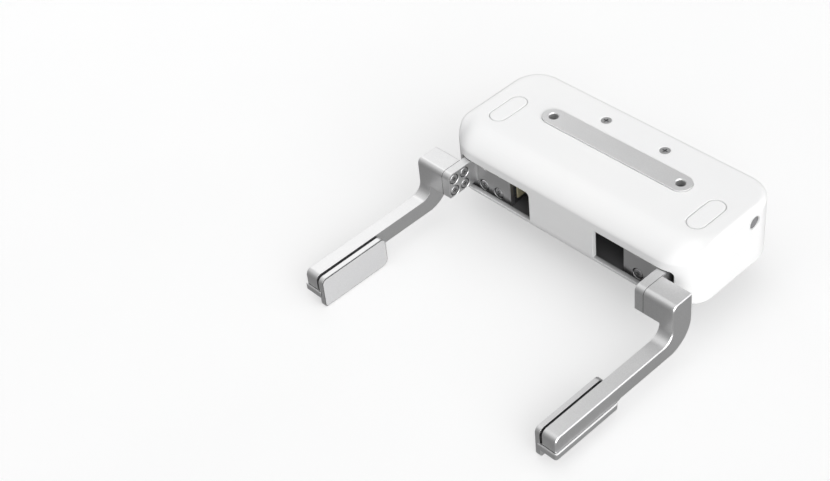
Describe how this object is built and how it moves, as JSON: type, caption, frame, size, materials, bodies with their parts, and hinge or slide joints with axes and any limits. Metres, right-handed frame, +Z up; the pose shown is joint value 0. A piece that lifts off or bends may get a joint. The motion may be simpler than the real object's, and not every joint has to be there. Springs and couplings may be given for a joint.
{
  "type": "electric two finger gripper",
  "caption": "Electric parallel gripper: rounded plastic body, top mount plate and two long L-shaped fingers that slide together on a rail.",
  "frame": {"origin": "centre between the two mounting holes, on the top face of the mount plate", "axes": "+X from the left finger to the right finger (slide direction), +Y to the back of the body away from the fingers, +Z up out of the mount plate"},
  "size_m": [0.1862, 0.182, 0.0588],
  "materials": {
    "shell_plastic": "fine moulded texture, soft sheen",
    "cover_plastic": "dark moulded plastic",
    "grip_grey": "thin grip sheet, fine texture",
    "mount_aluminium": "bead blasted, clear anodised",
    "frame_aluminium": "milled, dark anodised",
    "rail_steel": "ground",
    "carriage_steel": "ground",
    "gear_steel": "hobbed and oiled",
    "motor_steel": "turned",
    "screw_steel": "machined stainless",
    "black_plastic": "moulded",
    "board_green": "solder mask",
    "port_grey": "moulded",
    "black_rubber": "moulded",
    "brass": "dull",
    "bracket_aluminium": "bead blasted, anodised",
    "finger_aluminium": "bead blasted, clear anodised"
  },
  "bodies": {
    "base": {"housing_shell": "shell_plastic", "bottom_cover": "cover_plastic", "bottom_cover_screws": "screw_steel", "mount_plate": "mount_aluminium", "mount_plate_screws": "screw_steel", "cover_screws": "screw_steel", "insert_left": "shell_plastic", "insert_right": "shell_plastic", "chassis": "frame_aluminium", "guide_rail": "rail_steel", "rail_screws": "screw_steel", "end_bumpers": "black_rubber", "shaft_bearing": "rail_steel", "motor_mount": "frame_aluminium", "motor_mount_screws": "screw_steel", "gearbox_housing": "motor_steel", "gearbox_screws": "screw_steel", "motor_can": "motor_steel", "encoder_cap": "black_plastic", "standoffs": "screw_steel", "controller_board": "board_green", "board_components": "black_plastic", "board_spacers": "screw_steel", "board_screws": "screw_steel", "port_socket": "port_grey", "port_insert": "port_grey"},
    "left_finger": {"carriage_left": "carriage_steel", "wiper_left": "black_rubber", "wiper_plate_left": "brass", "carriage_bracket_left": "bracket_aluminium", "bracket_screws_left": "screw_steel", "rack_left": "gear_steel", "rack_screws_left": "screw_steel", "finger_left": "finger_aluminium", "finger_screws_left": "screw_steel", "shim_left": "black_rubber", "pad_bracket_left": "finger_aluminium", "grip_sheet_left": "grip_grey", "pad_screws_left": "screw_steel"},
    "right_finger": {"carriage_right": "carriage_steel", "wiper_right": "black_rubber", "wiper_plate_right": "brass", "carriage_bracket_right": "bracket_aluminium", "bracket_screws_right": "screw_steel", "rack_right": "gear_steel", "rack_screws_right": "screw_steel", "finger_right": "finger_aluminium", "finger_screws_right": "screw_steel", "shim_right": "black_rubber", "pad_bracket_right": "finger_aluminium", "grip_sheet_right": "grip_grey", "pad_screws_right": "screw_steel"},
    "pinion": {"pinion": "gear_steel", "pinion_shaft": "rail_steel"}
  },
  "joints": [
    {"name": "left_finger_slide", "type": "slide", "parent": "base", "child": "left_finger", "axis": [1, 0, 0], "range_m": [-0.0015, 0.037]},
    {"name": "right_finger_slide", "type": "slide", "parent": "base", "child": "right_finger", "axis": [-1, 0, 0], "range_m": [-0.0015, 0.037]},
    {"name": "pinion_spin", "type": "hinge", "parent": "base", "child": "pinion", "pos_m": [0, -0.0196, -0.0229], "axis": [0, 1, 0], "range_deg": [-14, 312]}
  ],
  "couplings": [
    {"joint": "right_finger_slide", "follows": "left_finger_slide", "ratio": 1},
    {"joint": "pinion_spin", "follows": "left_finger_slide", "rad_per_m": 142.86}
  ]
}
